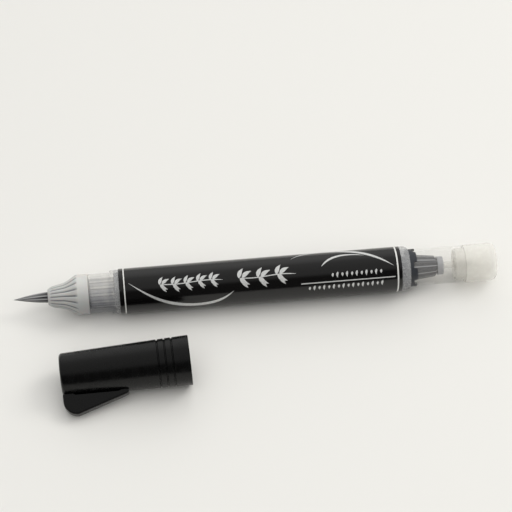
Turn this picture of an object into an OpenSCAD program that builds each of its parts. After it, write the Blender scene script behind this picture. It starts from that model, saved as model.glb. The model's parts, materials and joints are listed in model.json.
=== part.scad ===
// Push-refresh brush pen for calligraphy, lying uncapped with its cap beside it.
// The pen lies along X, brush towards -X, on the plane z = 0.

/* [Pen] */
// Length of the uncapped pen, from brush tip to tail
pen_len = 145; // [143.5:0.5:147]
// Diameter over the printed label
barrel_d = 13.5; // [13.3:0.1:14]
// Distance from the brush tip to the label's front edge
label_start = 31.8; // [31.6:0.1:32.2]
// Length of the label
label_len = 84.1; // [83.8:0.1:84.4]
// Thickness of the label film
label_t = 0.2; // [0.15:0.05:0.25]
// Wall of the ink tank under the label
tank_wall = 0.85; // [0.8:0.05:0.85]

/* [Brush and nose] */
// Length of brush that stands out of the nose
brush_out = 10.5; // [9.5:0.5:10.5]
// Diameter of the bundled fibres at the nose
brush_d = 3.2; // [3:0.1:3.3]
// Diameter of the nose at its mouth
nose_tip_d = 5.6; // [5.2:0.1:5.8]
// Diameter where the slim nose starts to flare
nose_waist_d = 7.2; // [7:0.1:7.4]
// Diameter of the nose's skirt
nose_skirt_d = 12; // [12:0.1:12.2]
// Number of grip ribs round the nose
nose_ribs = 18; // [12:1:20]
// Height of a grip rib
nose_rib_h = 0.2; // [0.1:0.05:0.25]

/* [Collar and valve] */
// Diameter of the clear window in the front collar
collar_d = 11.7; // [11.6:0.1:11.8]
// Diameter of the collar's flange
flange_d = 12.9; // [12.8:0.1:13]
// Number of ribs round the valve housing
housing_ribs = 12; // [8:1:14]
// Diameter of the valve stem and of the push rod
rod_d = 2; // [1.8:0.1:2]

/* [Tail] */
// Stroke of the refresh knob
push_travel = 3; // [2:0.5:3]
// Diameter of the clear knob
knob_d = 11.2; // [11:0.1:11.3]
// Large diameter of the tapered tail sleeve
sleeve_d = 7.4; // [7.2:0.1:7.4]
// Small diameter of the tapered tail sleeve
sleeve_end_d = 5.8; // [5.6:0.1:6]
// Number of ribs round the tail sleeve
sleeve_ribs = 10; // [8:1:12]
// Number of claws that hold the knob
claws = 6; // [4:1:8]

/* [Cap] */
// Length of the cap
cap_len = 37.5; // [37:0.5:38.5]
// Diameter of the cap's closed end
cap_closed_d = 12.6; // [12.6:0.1:12.8]
// Diameter of the cap's open end
cap_mouth_d = 14.6; // [14.6:0.1:14.8]
// Wall of the cap
cap_wall = 0.7; // [0.6:0.05:0.7]
// Distance from the cap's axis to the clip's outer face
clip_reach = 12.3; // [12:0.1:12.5]
// Width of the clip
clip_w = 4; // [3.6:0.1:4.4]
// Length of the clip along the cap
clip_len = 19; // [18:0.5:20]
// Height of the clip's foot over the cap
clip_foot_h = 1.2; // [1:0.1:2]
// Gap under the clip for a pocket's cloth
clip_gap = 0.5; // [0.4:0.1:0.8]

/* [Layout] */
// X of the middle of the cap's open end
cap_mouth_x = -21.8; // [-25:0.1:-18]
// Distance between the pen's axis and the cap's open end
cap_offset_y = 27.2; // [25:0.1:30]
// Turn of the cap on the table
cap_yaw = 1.4; // [0:0.1:4]

/* [Hidden] */
fn = 96;
fit = 0.05;
press = 0.02;
slide_gap = 0.08;

// Stations along the pen, measured from the brush tip
label_end = label_start + label_len;
mouth_s = brush_out;
holder_s = 12;
waist_s = 14.9;
flare_s = 19.3;
skirt_s = 22.65;
window_s = 29.2;
rim_s = label_start - 1.5;
o_ring_s = rim_s + 3.7;
collar_end_s = rim_s + 7.2;
housing_s = 23.2;
seat_s = 29;
web_s = 30.2;
web_end_s = web_s + 1.6;
stem_end_s = 39.9;
housing_end_s = 42;
ball_s = 58;
plug_s = 106.5;
plug_end_s = label_end - 1.7;
seal_s = plug_s + 3;
sleeve_s = seal_s + 1.7;
sleeve_web_s = sleeve_s + 1.8;
shoulder_s = label_end + 0.2;
barrel_end_s = label_end + 2.8;
claw_s = label_end + 2.3;
knob_s = claw_s + 2.5;
taper_s = barrel_end_s + 0.8;
taper_end_s = taper_s + 7.2;
neck_end_s = taper_end_s + 2;
rod_collar_s = neck_end_s - 1.4;
ring_s = taper_end_s + 0.5;
step_s = pen_len - 10.5;
cap_joint_s = pen_len - 9.6;
rod_end_s = cap_joint_s + 3.1;

// Radii of the pen
label_r = barrel_d / 2;
tube_r = label_r - label_t;
tank_r = tube_r - tank_wall;
rim_r = 6.5;
brush_r = brush_d / 2;
waist_r = nose_waist_d / 2;
skirt_r = nose_skirt_d / 2;
tip_r = nose_tip_d / 2;
skirt_bore_r = 5.3;
holder_r = 2.2;
feed_r = 0.7;
collar_r = collar_d / 2;
collar_bore_r = 4.5;
housing_r = 4.15;
housing_rib = [0.22, 0.8];
chamber_r = 3.3;
spring_chamber_r = 2.7;
rod_r = rod_d / 2;
knob_r = knob_d / 2;
knob_bore_r = 4.8;
claw_r = tank_r - 0.05;
rear_bore_r = tank_r + 0.05;
sleeve_r = sleeve_d / 2;
sleeve_end_r = sleeve_end_d / 2;
sleeve_bore_r = 2;
seal_r = 2.4;
neck_r = 2.4;
ring_r = 2.77;
ball_r = 2;
end_r = 5.7;
end_round = 1.8;

// Cap
closed_r = cap_closed_d / 2;
mouth_r = cap_mouth_d / 2;
cap_taper = atan((mouth_r - closed_r) / cap_len);
groove_z = [for (d = [9.1, 7, 4.9]) cap_len - d];
groove_w = 0.5;
groove_depth = 0.3;
cap_floor = 1.2;
inner_cap_r = 5.3;
inner_cap_bore_r = 4.75;
inner_cap_len = 21.4;
clip_round = 4;
clip_edge = 0.5;
clip_root = 3.2;
clip_pad = 2.6;
tenon = [2.4, 1.8];
tenon_z = 1.5;

// The clip's lower edge touches the table: A sin(a) + B cos(a) = C
clip_a = clip_reach - clip_edge;
clip_b = clip_w / 2 - clip_edge;
clip_c = (closed_r + clip_round * tan(cap_taper)) * cos(cap_taper) - clip_edge - 0.06;
clip_roll = asin(clip_c / norm([clip_a, clip_b])) - atan2(clip_b, clip_a);

// The origin is under the middle of the whole set
cap_reach_y = cap_offset_y + (cap_len - clip_round) * sin(cap_yaw) + clip_a * cos(clip_roll)
    + clip_b * sin(clip_roll) + clip_edge;
pen_y = (cap_reach_y - label_r) / 2;

function cap_radius(z) = closed_r + (mouth_r - closed_r) * z / cap_len;
function flare(t) = [waist_r + (skirt_r - waist_r) * pow(t, 1.3), waist_s + (flare_s - waist_s) * t];
function nose_outline(extra) = concat(
    [[tip_r + extra, mouth_s + 0.8]],
    [for (i = [0:6]) flare(i / 6) + [extra, 0]]
);
function band(points, depth) =
    concat(points, [for (k = [len(points) - 1:-1:0]) points[k] - [depth, 0]]);
function arc(cx, cy, r, a0, a1, n = 6) =
    [for (i = [0:n]) let (a = a0 + (a1 - a0) * i / n) [cx + r * cos(a), cy + r * sin(a)]];

// Stands a sub-part, drawn up the Z axis from the brush tip, on the pen's axis
module on_pen() {
    translate([-pen_len / 2, pen_y, label_r]) rotate([0, 90, 0]) children();
}

// Lays a sub-part, drawn up the Z axis from the cap's closed end, on the table
module on_cap() {
    translate([cap_mouth_x, pen_y - cap_offset_y, mouth_r * cos(cap_taper)])
        rotate([0, 0, cap_yaw]) rotate([0, -cap_taper, 0]) rotate([0, 90, 0])
            translate([0, 0, -cap_len]) children();
}

module turned(points) {
    rotate_extrude($fn = fn) polygon(points);
}

// Copies spaced evenly round the axis, none of them at angle 0
module around(n) {
    for (i = [0:n - 1]) rotate((i + 0.5) * 360 / n) children();
}

// Ring or tube from z0 to z1
module tube(r_out, r_in, z0, z1) {
    turned([[r_in, z0], [r_out, z0], [r_out, z1], [r_in, z1]]);
}

// A flat rib whose side view is the outline, thickness w
module rib(outline, w) {
    rotate([90, 0, 0]) linear_extrude(w, center = true) polygon(outline);
}

// A piece of a ring or tube with the given side outline and angle
module sector(outline, angle) {
    rotate(-angle / 2) rotate_extrude(angle = angle, $fn = fn) polygon(outline);
}

// Round wire wound into a closed-ended coil
module coil(r, wire_r, z0, z1, turns) {
    sides = 6;
    steps = turns * 16;
    rows = [for (i = [0:steps]) let (t = i / steps, a = 360 * turns * t, z = z0 + (z1 - z0) * t)
        [for (k = [0:sides - 1]) let (b = -360 * k / sides)
            [(r + wire_r * cos(b)) * cos(a), (r + wire_r * cos(b)) * sin(a), z + wire_r * sin(b)]]];
    walls = [for (i = [0:steps - 1], k = [0:sides - 1]) let (n = (k + 1) % sides)
        [i * sides + k, i * sides + n, (i + 1) * sides + n, (i + 1) * sides + k]];
    ends = [[for (k = [sides - 1:-1:0]) k], [for (k = [0:sides - 1]) steps * sides + k]];
    polyhedron([for (row = rows) each row], concat(walls, ends), convexity = 10);
}

// Pointed bundle of fibres, bored at its root for the feed tube
module brush_tip() {
    root_s = 17;
    feed_s = 14;
    color("dimgray") on_pen() turned(concat(
        [for (i = [0:8]) let (t = i / 8) [brush_r * (1 - pow(1 - t, 1.5)), brush_out * t]],
        [[brush_r, root_s], [feed_r + press, root_s], [feed_r + press, feed_s], [0, feed_s]]
    ));
}

// Sleeve that grips the fibres, with a flange that seats in the nose
module brush_holder() {
    root_end_s = 17.4;
    flange_s = 19.9;
    flange_end_s = flange_s + 0.8;
    color("gainsboro") on_pen() turned([
        [brush_r + press, holder_s], [holder_r, holder_s], [holder_r, flange_s],
        [skirt_bore_r - fit, flange_s], [skirt_bore_r - fit, flange_end_s],
        [feed_r + press, flange_end_s], [feed_r + press, root_end_s], [brush_r + press, root_end_s]
    ]);
}

// Frosted ribbed nose: slim mouth, flare and skirt
module nose_cone() {
    bore_r = holder_r + fit;
    mouth_bore_r = brush_r + 0.15;
    sides = nose_outline(0);
    color("lightgray") on_pen() {
        turned(concat(
            [[mouth_bore_r, mouth_s + 0.25], [tip_r - 0.5, mouth_s]], sides,
            [[skirt_r, skirt_s], [skirt_bore_r, skirt_s], [skirt_bore_r, flare_s + 0.3],
             [bore_r, flare_s - 2.8], [bore_r, mouth_s + 1.4], [mouth_bore_r, mouth_s + 1.4]]
        ));
        around(nose_ribs) sector(band(nose_outline(nose_rib_h), 0.6), 360 / nose_ribs * 0.45);
    }
}

// Thin tube that leads ink from the valve into the brush
module feed_tube() {
    color("white") on_pen() tube(feed_r, feed_r - 0.3, 14.2, housing_s + 0.8);
}

// Felt ring that evens out the ink behind the brush
module ink_sponge() {
    color("gray") on_pen() tube(collar_bore_r - 0.2, feed_r + 0.05, 20.9, housing_s - 0.3);
}

// Clear collar: spigot in the nose, window, flange and plug in the tank
module front_collar() {
    spigot_r = skirt_bore_r - fit;
    spigot_s = skirt_s - 1.45;
    plug_r = tank_r - fit;
    groove_r = 4.88;
    groove = [o_ring_s - 0.45, o_ring_s + 0.45];
    latch = [0.5, 1.7, 1.3];
    color("whitesmoke", 0.5) on_pen() difference() {
        turned([
            [collar_bore_r, spigot_s], [spigot_r - 0.2, spigot_s], [spigot_r, spigot_s + 0.3],
            [spigot_r, skirt_s],
            [collar_r, skirt_s], [collar_r, window_s], [flange_d / 2 - 0.15, window_s],
            [flange_d / 2, window_s + 0.15], [flange_d / 2, rim_s], [plug_r, rim_s],
            [plug_r, groove[0]], [groove_r, groove[0]], [groove_r, groove[1]],
            [plug_r, groove[1]], [plug_r, collar_end_s], [collar_bore_r, collar_end_s]
        ]);
        for (a = [21, 201]) rotate(a)
            translate([collar_r - latch[0] / 2, -latch[1] / 2, skirt_s + 0.3]) cube(latch);
    }
}

// Seal between the collar's plug and the tank
module collar_o_ring() {
    section_r = 0.39;
    color("black") on_pen() translate([0, 0, o_ring_s])
        rotate_extrude($fn = fn) translate([tank_r - section_r - 0.01, 0]) circle(section_r, $fn = 24);
}

// Ribbed housing with the valve's front chamber and spring chamber
module valve_housing() {
    ports = 3;
    port_r = 0.45;
    stop_r = 5.55;
    stop_s = collar_end_s + 0.05;
    stop_end_s = collar_end_s + 0.9;
    color("silver") on_pen() {
        difference() {
            turned([
                [chamber_r, housing_s], [housing_r, housing_s], [housing_r, stop_s],
                [stop_r, stop_s], [stop_r, stop_end_s],
                [housing_r, stop_end_s], [housing_r, housing_end_s],
                [spring_chamber_r, housing_end_s], [spring_chamber_r, web_end_s],
                [rod_r + slide_gap, web_end_s], [rod_r + slide_gap, web_s], [chamber_r, web_s]
            ]);
            around(ports) translate([rod_r + 0.35, 0, web_s - 1]) cylinder(r = port_r, h = 4, $fn = 24);
        }
        around(housing_ribs) translate([housing_r - 0.1, -housing_rib[1] / 2, housing_s])
            cube([housing_rib[0] + 0.1, housing_rib[1], collar_end_s - housing_s]);
    }
}

// Disc that closes the valve's front chamber and holds the feed tube
module feed_plug() {
    color("silver") on_pen() tube(chamber_r - press, feed_r + press, housing_s, housing_s + 0.8);
}

// Rubber seat for the valve's head
module valve_seat() {
    color("dimgray") on_pen() tube(chamber_r - 0.03, rod_r + 0.5, seat_s, web_s);
}

// Valve head and stem; the head sits against the front of the seat
module valve_stem() {
    head_r = 2.2;
    head_s = seat_s - 1.5;
    color("gainsboro") on_pen() turned([
        [0, head_s], [head_r - 0.4, head_s], [head_r, head_s + 0.4], [head_r, seat_s],
        [rod_r, seat_s], [rod_r, stem_end_s], [0, stem_end_s]
    ]);
}

// Ring clipped to the stem's end, pushed by the valve's spring
module stem_collar() {
    color("gainsboro") on_pen() tube(spring_chamber_r - 0.3, rod_r + 0.01, stem_end_s - 1, stem_end_s);
}

// Spring that closes the valve
module valve_spring() {
    wire_r = 0.2;
    color("silver") on_pen()
        coil(1.75, wire_r, web_end_s + wire_r + 0.02, stem_end_s - 1.02 - wire_r, 6);
}

// Ink tank: one tube, open in front, with a rounded shoulder behind the label
module barrel() {
    mouth_s2 = barrel_end_s - 0.2;
    shoulder_h = mouth_s2 - shoulder_s;
    shoulder_w = label_r - 6;
    color("whitesmoke", 0.6) on_pen() turned(concat(
        [[tank_r, rim_s], [rim_r - 0.2, rim_s], [rim_r, rim_s + 0.2], [rim_r, label_start],
         [tube_r, label_start], [tube_r, label_end], [label_r, label_end]],
        [for (a = [0:15:90]) [6 + shoulder_w * cos(a), shoulder_s + shoulder_h * sin(a)]],
        [[rear_bore_r, barrel_end_s], [rear_bore_r, plug_end_s + 0.02], [tank_r, plug_end_s + 0.02]]
    ));
}

// Printed film wrapped round the tank
module label_film() {
    color("black") on_pen() tube(label_r, tube_r, label_start, label_end);
}

// Loose steel ball that stirs the ink
module mixing_ball() {
    color("silver") on_pen() translate([tank_r - ball_r - fit, 0, ball_s]) sphere(ball_r, $fn = 48);
}

// Rod from the knob to the valve
module push_rod() {
    color("white") on_pen() turned([
        [0, stem_end_s + 0.1], [rod_r - 0.2, stem_end_s + 0.1], [rod_r, stem_end_s + 0.3],
        [rod_r, rod_end_s], [0, rod_end_s]
    ]);
}

// Ring on the rod that the return spring pushes
module rod_collar() {
    color("white") on_pen()
        tube(sleeve_bore_r - slide_gap, rod_r + 0.01, rod_collar_s, rod_collar_s + 1);
}

// Plug that closes the tank's rear end, with sockets for the seal and the sleeve
module rear_plug() {
    color("silver") on_pen() turned([
        [rod_r + slide_gap, plug_s], [tank_r - 0.5, plug_s], [tank_r - 0.03, plug_s + 0.5],
        [tank_r - 0.03, plug_end_s], [sleeve_r + 0.03, plug_end_s], [sleeve_r + 0.03, sleeve_s],
        [seal_r, sleeve_s], [seal_r, seal_s], [rod_r + slide_gap, seal_s]
    ]);
}

// Lip seal round the rod
module rod_seal() {
    lip_r = rod_r + 0.04;
    color("dimgray") on_pen() turned([
        [lip_r, seal_s + 0.3], [rod_r + 0.5, seal_s + press], [seal_r - press, seal_s + press],
        [seal_r - press, sleeve_s - fit], [rod_r + 0.5, sleeve_s - fit], [lip_r, sleeve_s - 0.35]
    ]);
}

// Ribbed tapered sleeve that guides the rod and holds the return spring
module tail_sleeve() {
    taper = [[sleeve_r, taper_s], [sleeve_end_r, taper_end_s]];
    color("gray") on_pen() {
        turned([
            [rod_r + slide_gap, sleeve_s], [sleeve_r, sleeve_s], taper[0], taper[1],
            [neck_r, taper_end_s], [neck_r, neck_end_s], [sleeve_bore_r, neck_end_s],
            [sleeve_bore_r, sleeve_web_s], [rod_r + slide_gap, sleeve_web_s]
        ]);
        around(sleeve_ribs) rib(band([for (p = taper) p + [0.18, 0]], 0.6), 0.5);
    }
}

// Small ring that closes the sleeve and stops the rod's collar
module sleeve_ring() {
    color("silver") on_pen() turned([
        [neck_r + 0.02, ring_s], [ring_r, ring_s], [ring_r, ring_s + 1.6], [ring_r - 0.2, ring_s + 1.8],
        [rod_r + slide_gap, ring_s + 1.8], [rod_r + slide_gap, neck_end_s + 0.02],
        [neck_r + 0.02, neck_end_s + 0.02]
    ]);
}

// Spring that returns the knob
module return_spring() {
    wire_r = 0.2;
    color("silver") on_pen()
        coil(1.5, wire_r, sleeve_web_s + wire_r + 0.02, rod_collar_s - wire_r - 0.02, 9);
}

// Castellated ring that keeps the knob in the tank's rear mouth
module claw_ring() {
    wall = 0.7;
    notch = [1, 2.2];
    color("darkslategray") on_pen() difference() {
        tube(claw_r, claw_r - wall, claw_s, knob_s);
        around(claws) translate([claw_r - 1.5, -notch[1] / 2, knob_s - notch[0]])
            cube([3, notch[1], 2 * notch[0]]);
    }
}

// Clear knob with lugs that lock into the claw ring, and two moulding windows
module push_knob() {
    lug_h = 0.95;
    lug_r = knob_r - 0.08;
    lug_bore_r = 5.05;
    lug_angle = 20;
    lug = [[lug_bore_r, knob_s - lug_h], [lug_r, knob_s - lug_h], [lug_r, knob_s + 0.3],
           [lug_bore_r, knob_s + 0.3]];
    window = [2, 2.2, 6.2];
    color("whitesmoke", 0.4) on_pen() {
        difference() {
            turned([
                [knob_bore_r, knob_s], [knob_r, knob_s], [knob_r, step_s], [end_r + 0.05, step_s + 0.2],
                [end_r + 0.05, cap_joint_s], [knob_bore_r, cap_joint_s]
            ]);
            for (a = [124, 304]) rotate(a)
                translate([knob_bore_r - 0.5, -window[1] / 2, knob_s + 5.5]) cube(window);
        }
        around(claws) sector(lug, lug_angle);
    }
}

// Thick end piece of the knob, with a socket for the rod
module knob_end_plug() {
    spigot_r = knob_bore_r - 0.03;
    cavity_r = 3.9;
    post_r = 1.9;
    spigot_s = cap_joint_s - 2.9;
    cavity_s = pen_len - 1.9;
    color("white", 0.7) on_pen() turned(concat(
        [[rod_r + 0.02, spigot_s], [post_r, spigot_s], [post_r, cavity_s], [cavity_r, cavity_s],
         [cavity_r, spigot_s], [spigot_r - 0.2, spigot_s], [spigot_r, spigot_s + 0.3],
         [spigot_r, cap_joint_s + 0.02], [end_r, cap_joint_s + 0.02]],
        arc(end_r - end_round, pen_len - end_round, end_round, 0, 90),
        [[0, pen_len], [0, rod_end_s + 0.02], [rod_r + 0.02, rod_end_s + 0.02]]
    ));
}

// Tapered cap with three grooves near its mouth
module cap_shell() {
    edge_r = 0.9;
    inner_mouth_r = mouth_r - cap_wall;
    inner_end_r = cap_radius(cap_floor) - cap_wall;
    notches = [for (z = groove_z) each [
        [cap_radius(z), z - groove_w / 2], [cap_radius(z) - groove_depth, z - groove_w / 4],
        [cap_radius(z) - groove_depth, z + groove_w / 4], [cap_radius(z), z + groove_w / 2]
    ]];
    color("black") on_cap() difference() {
        turned(concat(
            [[0, 0]], arc(closed_r - edge_r, edge_r, edge_r, -90, 0), notches,
            [[mouth_r, cap_len - 0.2], [mouth_r - 0.2, cap_len], [inner_mouth_r + 0.1, cap_len],
             [inner_mouth_r, cap_len - 0.3], [inner_end_r, cap_floor], [0, cap_floor]]
        ));
        rotate(clip_roll - 90) translate([inner_cap_r + 0.05, -tenon[0] / 2 - 0.15, tenon_z - 0.15])
            cube([3, tenon[0] + 0.3, tenon[1] + 0.3]);
    }
}

// Inner cup that seals round the nose so that the brush stays wet
module inner_cap() {
    z0 = cap_floor + 0.03;
    floor_t = 0.7;
    color("dimgray") on_cap() turned([
        [0, z0], [inner_cap_r, z0], [inner_cap_r, z0 + inner_cap_len],
        [inner_cap_bore_r + 0.2, z0 + inner_cap_len], [inner_cap_bore_r, z0 + inner_cap_len - 0.5],
        [inner_cap_bore_r, z0 + floor_t], [0, z0 + floor_t]
    ]);
}

// Wedge-shaped clip, held by a tenon in the cap's wall
module cap_clip() {
    foot_gap = 0.12;
    inner = 5;
    tip = [cap_radius(clip_len) + clip_foot_h, clip_len - 1];
    tip_round = 0.6;
    side = concat(
        [[inner, 0.05]], arc(clip_reach - clip_round, clip_round + 0.05, clip_round, -90, 0), [tip],
        arc(tip[0] - tip_round, tip[1] + 0.4, tip_round, 0, 75, 3), [[inner, clip_len]]
    );
    section = concat(
        arc(clip_a, clip_b, clip_edge, 0, 90), arc(inner, clip_b, clip_edge, 90, 180),
        arc(inner, -clip_b, clip_edge, 180, 270), arc(clip_a, -clip_b, clip_edge, 270, 360)
    );
    pad_z = clip_len - clip_pad;
    color("black") on_cap() rotate(clip_roll - 90) {
        difference() {
            intersection() {
                rib(side, clip_w + 1);
                linear_extrude(clip_len) polygon(section);
            }
            turned([
                [0, -1], [cap_radius(-1) + foot_gap, -1], [cap_radius(clip_root) + foot_gap, clip_root],
                [cap_radius(clip_root) + clip_gap, clip_root + 0.4],
                [cap_radius(pad_z) + clip_gap, pad_z], [cap_radius(pad_z) + foot_gap, pad_z + 0.5],
                [cap_radius(clip_len) + foot_gap, clip_len + 1], [0, clip_len + 1]
            ]);
        }
        translate([inner_cap_r + 0.2, -tenon[0] / 2, tenon_z])
            cube([closed_r - inner_cap_r + 1, tenon[0], tenon[1]]);
    }
}

brush_tip();
brush_holder();
nose_cone();
feed_tube();
ink_sponge();
front_collar();
collar_o_ring();
valve_housing();
feed_plug();
valve_seat();
valve_stem();
stem_collar();
valve_spring();
barrel();
label_film();
mixing_ball();
push_rod();
rod_collar();
rear_plug();
rod_seal();
tail_sleeve();
sleeve_ring();
return_spring();
claw_ring();
push_knob();
knob_end_plug();
cap_shell();
inner_cap();
cap_clip();
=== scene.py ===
"""Looks of a calligraphy brush pen and its cap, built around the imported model.

Stations along the pen are millimetres from the brush tip, and angles round it start at +Y and
turn towards +Z. Stations along the cap are millimetres from its closed end.
"""
import json
import math

import bpy
import numpy as np
from mathutils import Matrix, Vector


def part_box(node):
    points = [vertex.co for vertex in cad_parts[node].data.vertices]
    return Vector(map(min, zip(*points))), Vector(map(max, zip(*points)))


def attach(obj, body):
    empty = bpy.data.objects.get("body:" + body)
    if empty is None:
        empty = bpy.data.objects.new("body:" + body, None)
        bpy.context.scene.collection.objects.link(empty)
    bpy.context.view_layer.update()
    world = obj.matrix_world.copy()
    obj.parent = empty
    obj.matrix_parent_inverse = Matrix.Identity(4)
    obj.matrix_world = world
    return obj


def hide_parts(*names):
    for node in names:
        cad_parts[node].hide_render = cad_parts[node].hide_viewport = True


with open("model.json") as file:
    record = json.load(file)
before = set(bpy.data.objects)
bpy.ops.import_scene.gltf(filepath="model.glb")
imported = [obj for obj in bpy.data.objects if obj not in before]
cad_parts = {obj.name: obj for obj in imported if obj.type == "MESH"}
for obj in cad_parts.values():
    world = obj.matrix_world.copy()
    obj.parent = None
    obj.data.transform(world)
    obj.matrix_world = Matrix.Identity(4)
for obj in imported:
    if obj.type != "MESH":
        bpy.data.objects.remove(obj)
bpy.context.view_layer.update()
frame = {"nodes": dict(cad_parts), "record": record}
MM = 0.001
TAU = 2 * math.pi

# ---------------------------------------------------------------- places, from the frame
mounts = {m["name"]: m for m in frame["record"]["mounts"]}
openings = {o["name"]: o for o in frame["record"]["physics"]["openings"]}
tip_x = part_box("brush_tip")[0].x
pen_y, pen_z = mounts["barrel_grip"]["pos_m"][1:]


def span(node):
    """First and last station of a node along the pen, and its outer radius, in mm."""
    low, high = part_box(node)
    return (low.x - tip_x) / MM, (high.x - tip_x) / MM, (high.z - low.z) / 2 / MM


label_0, label_1, label_r = span("label_film")
barrel_0, barrel_1 = span("barrel")[:2]
nose_0, nose_1 = span("nose_cone")[:2]
collar_0, collar_1, flange_r = span("front_collar")
housing_0, housing_1 = span("valve_housing")[:2]
claw_0, claw_1, claw_r = span("claw_ring")
end_0, end_1, end_r = span("knob_end_plug")
sleeve_0, sleeve_1 = span("tail_sleeve")[:2]
ring_0, ring_1, ring_r = span("sleeve_ring")
PEN = Matrix(((0, 0, MM, tip_x), (0, MM, 0, pen_y), (-MM, 0, 0, pen_z), (0, 0, 0, 1)))

# Counts of ribs round the pen, and how far the print stands over and reaches under the label's face
NOSE_RIBS = 18
HOUSING_RIBS = 12
SLEEVE_RIBS = 10
PRINT_PROUD = 0.025
PRINT_SUNK = 0.06
GOLDEN_ANGLE = 2.399963


def cap_frame():
    """Matrix that takes millimetres, with Z from the cap's closed end to its mouth, to the row frame.

    The axis is the clip slot's, it passes through the middle of the mouth opening, and the closed end
    lies where the cap's box begins. X points to the clip.
    """
    axis = Vector(mounts["clip_slot"]["axis"])
    low, high = (Vector(c) for c in openings["cap_mouth"]["box_m"])
    middle = (low + high) / 2
    start_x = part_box("cap_shell")[0].x + (CLOSED_R - 0.9) * MM * math.sqrt(1 - axis.x**2)
    end = middle + axis * ((start_x - middle.x) / axis.x)
    reach = Vector(mounts["clip_slot"]["pos_m"]) - end
    towards = (reach - axis * reach.dot(axis)).normalized()
    across = axis.cross(towards)
    columns = [towards * MM, across * MM, axis * MM, end]
    return Matrix([[c[i] for c in columns] for i in range(3)] + [[0, 0, 0, 1]])


CAP_LEN = 37.5
shell_low, shell_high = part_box("cap_shell")
MOUTH_R = (shell_high.z - shell_low.z) / 2 / MM
CLOSED_R = MOUTH_R - CAP_LEN * math.tan(math.asin(mounts["clip_slot"]["axis"][2]))
CAP = cap_frame()


# ---------------------------------------------------------------- meshes
def piece(name, points, faces, body, slot, material, replaces=(), sharp=40):
    """A mesh piece from an array of points in metres, riding on a body."""
    mesh = bpy.data.meshes.new(name)
    mesh.from_pydata(np.asarray(points, float).tolist(), [], [list(map(int, f)) for f in faces])
    mesh.update()
    mesh.shade_smooth()
    mesh.set_sharp_from_angle(angle=math.radians(sharp))
    mesh.materials.append(material)
    made = bpy.data.objects.new(name, mesh)
    bpy.context.scene.collection.objects.link(made)
    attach(made, body)
    if replaces:
        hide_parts(*replaces)
    return made


def placed(points, place):
    """Points in mm, carried by a 4 by 4 matrix."""
    m = np.array(place)
    return points @ m[:3, :3].T + m[:3, 3]


def torus_faces(rows, columns):
    """Quads of a grid that closes on itself both ways."""
    i, j = np.meshgrid(np.arange(rows), np.arange(columns), indexing="ij")
    a, b = (i + 1) % rows, (j + 1) % columns
    quads = np.stack([i * columns + j, i * columns + b, a * columns + b, a * columns + j], -1)
    return quads.reshape(-1, 4)


def tube_faces(rows, columns):
    """Quads of a grid that closes on itself across its columns only."""
    i, j = np.meshgrid(np.arange(rows - 1), np.arange(columns), indexing="ij")
    b = (j + 1) % columns
    quads = np.stack([i * columns + j, i * columns + b, (i + 1) * columns + b, (i + 1) * columns + j], -1)
    return quads.reshape(-1, 4)


def filleted(outline, radius, closed=True, steps=4):
    """Outline with each corner replaced by an arc that touches both of its sides.

    The arc's reach along a side is radius times tan of half the turn, kept under 0.4 of the side. A row
    just past each end of the arc keeps the flat sides flat in shading. The third value of a point, its
    rib weight, is carried over. The ends of an open outline stay as they are.
    """
    p = np.array([(*q, 0.0)[:3] for q in outline], float)
    out = []
    for k in range(len(p)):
        here, last, following = p[k], p[k - 1], p[(k + 1) % len(p)]
        u, v = last[:2] - here[:2], following[:2] - here[:2]
        lu, lv = np.hypot(*u), np.hypot(*v)
        u, v = u / lu, v / lv
        turn = math.acos(np.clip(-(u @ v), -1, 1))
        if turn < math.radians(14) or (not closed and k in (0, len(p) - 1)):
            out.append(here)
            continue
        reach = min(radius * math.tan(turn / 2), 0.4 * lu, 0.4 * lv)
        r = reach / math.tan(turn / 2)
        centre = here[:2] + (u + v) / np.hypot(*(u + v)) * math.hypot(r, reach)
        a, b = here[:2] + u * reach - centre, here[:2] + v * reach - centre
        past = min(0.1, 0.25 * min(lu, lv))
        out.append([*(here[:2] + u * min(reach + past, 0.48 * lu)), here[2]])
        for t in np.linspace(0, 1, steps + 1):
            w = (math.sin((1 - t) * turn) * a + math.sin(t * turn) * b) / math.sin(turn)
            out.append([*(centre + w), here[2]])
        out.append([*(here[:2] + v * min(reach + past, 0.48 * lv)), here[2]])
    return np.array(out)


def turned(name, outline, place, body, slot, material, replaces=(), ribs=None, notches=None,
           segments=144, **more):
    """A closed outline (radius, station, weight) turned about the axis.

    With ribs=(count, height, share), the radius grows by weight times height within share of each pitch,
    with smooth flanks: height / (1 + exp(sharpness * (offset - share / 2))). With notches=(count, depth,
    share), the station shrinks in the same way, by weight times depth.
    """
    p = np.array([(*q, 0.0)[:3] for q in outline], float)
    angle = np.arange(segments) * TAU / segments
    radius = np.repeat(p[:, :1], segments, 1)
    station = np.repeat(p[:, 1:2], segments, 1)
    if ribs:
        radius = radius + p[:, 2:3] * ribs[1] * flanked(angle, ribs[0], ribs[2], 36)
    if notches:
        station = station - p[:, 2:3] * notches[1] * flanked(angle, notches[0], notches[2], 150)
    points = np.stack([radius * np.cos(angle), radius * np.sin(angle), station], -1).reshape(-1, 3)
    return piece(name, placed(points, place), torus_faces(len(p), segments), body, slot, material, replaces,
                 **more)


def flanked(angle, count, share, sharpness):
    """Wave round the axis: 1 within share of each pitch, round its middle, and 0 outside it."""
    offset = np.abs((angle * count / TAU) % 1 - 0.5)
    return 1 / (1 + np.exp(np.clip(sharpness * (offset - share / 2), -60, 60)))


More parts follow.
